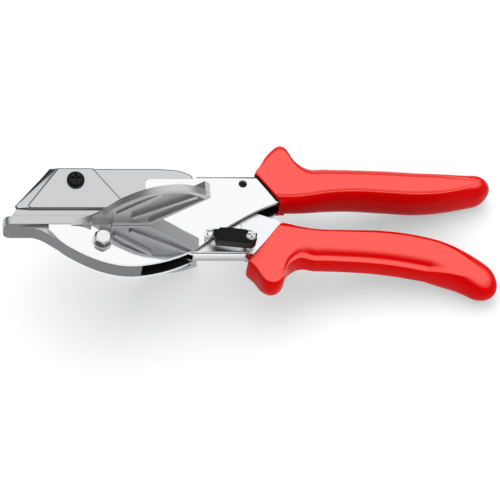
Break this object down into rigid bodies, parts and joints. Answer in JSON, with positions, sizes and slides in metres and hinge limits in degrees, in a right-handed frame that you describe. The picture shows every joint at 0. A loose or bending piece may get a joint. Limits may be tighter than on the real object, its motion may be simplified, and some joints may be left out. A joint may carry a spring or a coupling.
{
  "type": "mitre shears",
  "caption": "Hand shears with a straight blade closing on a flat anvil table whose two wings carry 45 degree fences, for cutting mouldings and trims.",
  "frame": {"origin": "centre of the foot of the bounding box, the tool lying on its side, closed and latched", "axes": "+X from the nose to the handles, +Y from the anvil table towards the blade, +Z square to the blade plane, up while the tool lies on its side"},
  "size_m": [0.2156, 0.0728, 0.0756],
  "materials": {
    "chromed_sheet": "polished chrome plate on pressed steel",
    "cast_zinc": "tumbled zinc die casting, satin",
    "bright_steel": "bright zinc plated steel",
    "ground_steel": "fine ground steel plate",
    "blade_steel": "ground blade steel",
    "black_steel": "black oxide",
    "bronze": "sintered bronze",
    "red_pvc": "glossy dipped PVC",
    "black_plastic": "moulded satin plastic"
  },
  "bodies": {
    "anvil_lever": {"anvil_lever_channel": "chromed_sheet", "anvil_table": "cast_zinc", "table_bolt": "bright_steel", "table_bolt_washer": "bright_steel", "table_nut": "bright_steel", "pivot_bolt": "bright_steel", "pivot_nut": "bright_steel", "pivot_washer_front": "bright_steel", "pivot_washer_back": "bright_steel", "latch_pin": "bright_steel", "upper_grip": "red_pvc", "opening_spring": "bright_steel"},
    "blade_lever": {"blade_lever_channel": "chromed_sheet", "blade_arm": "ground_steel", "arm_rivet_1": "bright_steel", "arm_rivet_2": "bright_steel", "cutting_blade": "blade_steel", "blade_pin_1": "bright_steel", "blade_pin_2": "bright_steel", "blade_clamp_plate": "ground_steel", "blade_screw": "black_steel", "pivot_bush": "bronze", "lower_grip": "red_pvc", "latch_screw": "bright_steel", "latch_spacer": "bright_steel"},
    "latch": {"latch_hook": "bright_steel", "latch_thumb_piece": "black_plastic"}
  },
  "joints": [
    {"name": "lever_open", "type": "hinge", "parent": "anvil_lever", "child": "blade_lever", "pos_m": [-0.03413, 0.0092, 0.03779], "axis": [0, 0, -1], "range_deg": [0, 25], "deforming": ["opening_spring"]},
    {"name": "latch_swing", "type": "hinge", "parent": "blade_lever", "child": "latch", "pos_m": [-0.00113, -0.0127, 0.03779], "axis": [0, 0, -1], "range_deg": [0, 38]}
  ],
  "couplings": [
    {"joint": "latch_swing", "follows": "lever_open", "ratio": 1.5}
  ]
}
